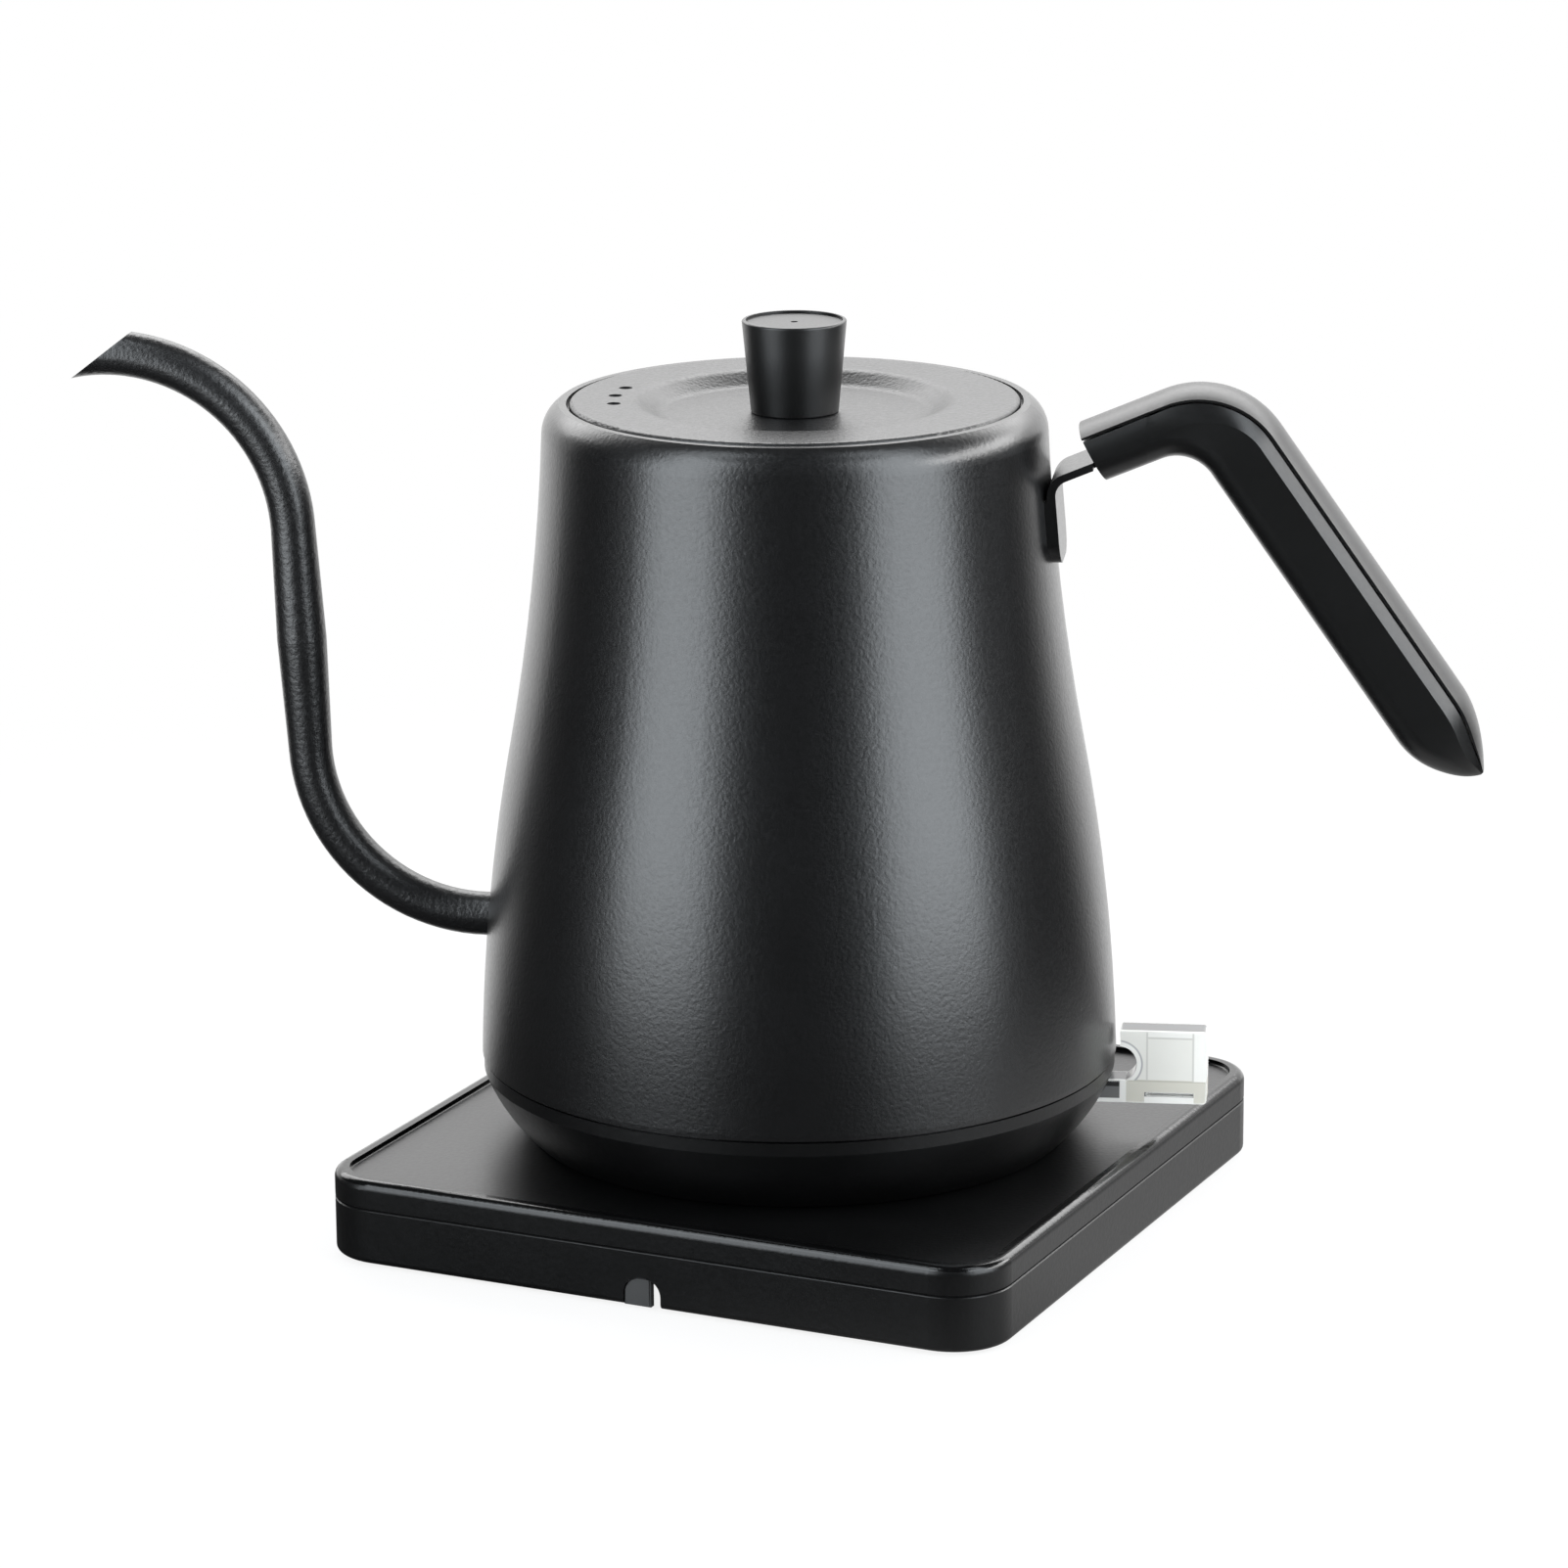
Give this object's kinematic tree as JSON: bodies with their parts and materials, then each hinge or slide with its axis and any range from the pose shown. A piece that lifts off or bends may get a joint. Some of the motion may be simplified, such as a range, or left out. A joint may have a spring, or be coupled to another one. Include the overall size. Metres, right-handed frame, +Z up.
{
  "type": "electric gooseneck kettle",
  "caption": "Matt black electric kettle with a slim curved pouring spout, a cranked handle and a lift-off lid, standing on a square power base it lifts off and turns on.",
  "frame": {"origin": "on the kettle's upright axis, at the level of the table under the base's feet", "axes": "+Z up, the spout points along -X, the handle and switch along +X, +Y to the far side"},
  "size_m": [0.2819, 0.1768, 0.1817],
  "materials": {
    "body_coat": "satin black powder coat with a fine grain",
    "base_plastic": "satin black moulded plastic",
    "handle_plastic": "fine matt black plastic",
    "knob_plastic": "satin black plastic",
    "clear_plastic": "clear, slightly milky plastic",
    "steel": "plain stainless steel",
    "aluminium": "cast aluminium",
    "brass": "plain brass",
    "control_plastic": "heat-resisting black plastic",
    "silicone": "dark grey silicone",
    "lamp_glass": "clear glass capsule"
  },
  "bodies": {
    "base": {"base_tray": "base_plastic", "base_cover": "base_plastic", "base_feet": "silicone", "base_screws": "steel", "base_connector": "control_plastic", "connector_pin_contact": "brass", "connector_ring_contact": "brass", "connector_screws": "steel", "connector_tabs": "brass"},
    "socket": {"kettle_socket": "control_plastic", "socket_pin": "brass", "socket_ring": "brass"},
    "kettle": {"vessel": "body_coat", "neck_ring": "body_coat", "vessel_floor": "steel", "heat_spreader": "aluminium", "heating_element": "steel", "element_terminals": "brass", "control_housing": "control_plastic", "control_screws": "steel", "bimetal_disc": "steel", "indicator_lamp": "lamp_glass", "bottom_cover": "base_plastic", "bottom_screws": "steel", "lever_pin": "steel", "switch_spring": "steel", "spout_tube": "body_coat", "handle_outer_shell": "handle_plastic", "handle_inner_shell": "handle_plastic", "handle_screws": "steel", "handle_strap": "body_coat"},
    "switch": {"switch_lever": "clear_plastic"},
    "seal": {"lid_seal": "silicone"},
    "lid": {"lid_cover": "body_coat", "lid_liner": "steel", "lid_knob": "knob_plastic", "knob_cap": "knob_plastic", "knob_washer": "steel", "knob_screw": "steel"}
  },
  "joints": [
    {"name": "kettle_lift", "type": "slide", "parent": "base", "child": "socket", "axis": [0, 0, 1], "range_m": [0, 0.08]},
    {"name": "kettle_swivel", "type": "hinge", "parent": "socket", "child": "kettle", "pos_m": [0, 0, 0.0265], "axis": [0, 0, 1], "continuous": true},
    {"name": "switch_press", "type": "hinge", "parent": "kettle", "child": "switch", "pos_m": [0.055, 0, 0.0258], "axis": [0, 1, 0], "range_deg": [0, 10]},
    {"name": "lid_lift", "type": "slide", "parent": "kettle", "child": "seal", "axis": [0, 0, 1], "range_m": [0, 0.06]},
    {"name": "lid_turn", "type": "hinge", "parent": "seal", "child": "lid", "pos_m": [0, 0, 0.157], "axis": [0, 0, 1], "continuous": true}
  ]
}
